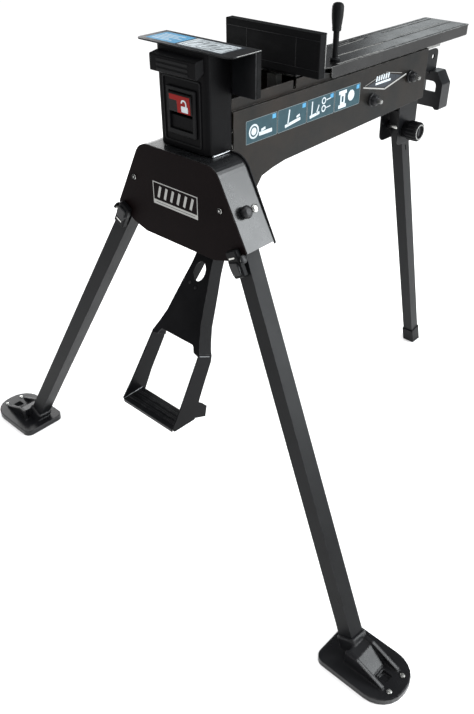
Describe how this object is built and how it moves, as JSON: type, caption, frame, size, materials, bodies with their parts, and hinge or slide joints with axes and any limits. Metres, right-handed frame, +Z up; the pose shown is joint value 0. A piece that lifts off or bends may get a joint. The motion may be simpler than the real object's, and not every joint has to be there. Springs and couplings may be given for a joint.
{
  "type": "foot-operated clamping workbench",
  "caption": "Folding three-legged clamping stand: padded fixed and sliding jaws on a box beam, with a foot pedal, release rocker, carry handle and foot pads.",
  "frame": {"origin": "centre of the footprint, on the floor", "axes": "+Z up, +Y along the beam from the pedal end towards the rear leg, +X towards the rear leg's knob"},
  "size_m": [1.1126, 0.9606, 0.9008],
  "materials": {
    "black_paint": "satin black powder coat",
    "brown_paint": "satin warm black powder coat",
    "black_plastic": "fine-grained black plastic",
    "jaw_pad": "dense black polyurethane",
    "bright_steel": "zinc-plated steel",
    "plain_steel": "bare pressed steel",
    "red_plastic": "red moulded plastic"
  },
  "bodies": {
    "stand": {"main_beam": "brown_paint", "front_plate": "brown_paint", "back_plate": "black_paint", "bracket_band": "black_paint", "plate_screw_right": "bright_steel", "plate_screw_left": "bright_steel", "leg_stop_right": "black_plastic", "leg_stop_left": "black_plastic", "stop_pin_right": "bright_steel", "stop_pin_left": "bright_steel", "column_shell": "black_plastic", "column_hood": "black_plastic", "switch_bezel": "black_plastic", "fixed_jaw_plate": "black_paint", "fixed_jaw_pad": "jaw_pad", "beam_bolt_front": "bright_steel", "beam_bolt_rear": "bright_steel", "beam_nut_front": "black_plastic", "beam_nut_rear": "black_plastic", "carry_handle": "black_plastic", "handle_tongue": "bright_steel", "rear_leg_bracket": "black_paint", "knob_bolt": "bright_steel", "leg_pivot_bolt_right": "bright_steel", "leg_pivot_bolt_left": "bright_steel", "pedal_pivot_bolt": "bright_steel"},
    "jaw_slide": {"slide_channel": "black_paint", "slide_bar": "bright_steel", "moving_jaw_plate": "black_paint", "moving_jaw_pad": "jaw_pad", "jaw_screw_right": "bright_steel", "jaw_screw_left": "bright_steel", "lever_post": "bright_steel"},
    "clamp_lever": {"lever_grip": "black_plastic"},
    "pedal": {"pedal_frame": "black_paint", "pedal_tread": "black_paint", "rod_pin": "bright_steel", "pedal_bush_right": "black_plastic", "pedal_bush_left": "black_plastic"},
    "pull_link": {"pull_rod": "plain_steel", "drive_plate": "plain_steel", "return_spring": "bright_steel"},
    "rocker": {"release_rocker": "red_plastic"},
    "release_link": {"release_rod": "plain_steel"},
    "hold_lever": {"hold_plate": "plain_steel"},
    "rear_leg_body": {"rear_leg": "black_paint", "rear_leg_cap": "black_plastic", "rear_leg_bush_right": "black_plastic", "rear_leg_bush_left": "black_plastic"},
    "rear_knob_body": {"rear_knob": "black_plastic"},
    "leg_right": {"front_leg_right": "black_paint", "leg_hinge_right": "plain_steel", "foot_pad_right": "black_plastic", "foot_screw_right": "plain_steel"},
    "leg_left": {"front_leg_left": "black_paint", "leg_hinge_left": "plain_steel", "foot_pad_left": "black_plastic", "foot_screw_left": "plain_steel"},
    "button_right": {"leg_button_right": "black_plastic"},
    "button_left": {"leg_button_left": "black_plastic"}
  },
  "joints": [
    {"name": "jaw_travel", "type": "slide", "parent": "stand", "child": "jaw_slide", "axis": [0, 1, 0], "range_m": [-0.125, 0.2]},
    {"name": "lever_spin", "type": "hinge", "parent": "jaw_slide", "child": "clamp_lever", "pos_m": [0.031, -0.01055, 0.864], "axis": [0, 0, 1], "continuous": true},
    {"name": "pedal_press", "type": "hinge", "parent": "stand", "child": "pedal", "pos_m": [0, -0.24055, 0.654], "axis": [1, 0, 0], "range_deg": [0, 28], "stiffness_Nm_per_rad": 10, "springref_deg": -22.92},
    {"name": "pull_travel", "type": "slide", "parent": "stand", "child": "pull_link", "axis": [0, 1, 0], "range_m": [-0.0246, 0], "deforming": ["return_spring"]},
    {"name": "rocker_tilt", "type": "hinge", "parent": "stand", "child": "rocker", "pos_m": [0, -0.33055, 0.803], "axis": [1, 0, 0], "range_deg": [0, 6.4]},
    {"name": "release_travel", "type": "slide", "parent": "stand", "child": "release_link", "axis": [0, 1, 0], "range_m": [0, 0.0056], "stiffness_N_per_m": 170, "springref_m": -0.016},
    {"name": "hold_tilt", "type": "hinge", "parent": "stand", "child": "hold_lever", "pos_m": [0, 0.14845, 0.714], "axis": [1, 0, 0], "range_deg": [-10, 0]},
    {"name": "rear_leg_fold", "type": "hinge", "parent": "stand", "child": "rear_leg_body", "pos_m": [0, 0.26395, 0.624], "axis": [1, 0, 0], "range_deg": [-77, 0]},
    {"name": "rear_knob_turn", "type": "hinge", "parent": "stand", "child": "rear_knob_body", "pos_m": [0.04, 0.26395, 0.624], "axis": [1, 0, 0], "continuous": true},
    {"name": "leg_fold_right", "type": "hinge", "parent": "stand", "child": "leg_right", "pos_m": [0.12019, -0.31155, 0.663], "axis": [0.878, 0, 0.4787], "range_deg": [0, 97]},
    {"name": "leg_fold_left", "type": "hinge", "parent": "stand", "child": "leg_left", "pos_m": [-0.12019, -0.31155, 0.663], "axis": [0.878, 0, -0.4787], "range_deg": [0, 97]},
    {"name": "button_press_right", "type": "slide", "parent": "stand", "child": "button_right", "axis": [-0.878, 0, -0.4787], "range_m": [0, 0.0045], "stiffness_N_per_m": 1200, "springref_m": -0.005},
    {"name": "button_press_left", "type": "slide", "parent": "stand", "child": "button_left", "axis": [0.878, 0, -0.4787], "range_m": [0, 0.0045], "stiffness_N_per_m": 1200, "springref_m": -0.005}
  ],
  "couplings": [
    {"joint": "pull_travel", "follows": "pedal_press", "m_per_rad": -0.05},
    {"joint": "rocker_tilt", "follows": "release_travel", "rad_per_m": 18.518},
    {"joint": "hold_tilt", "follows": "release_travel", "rad_per_m": -28.518}
  ]
}
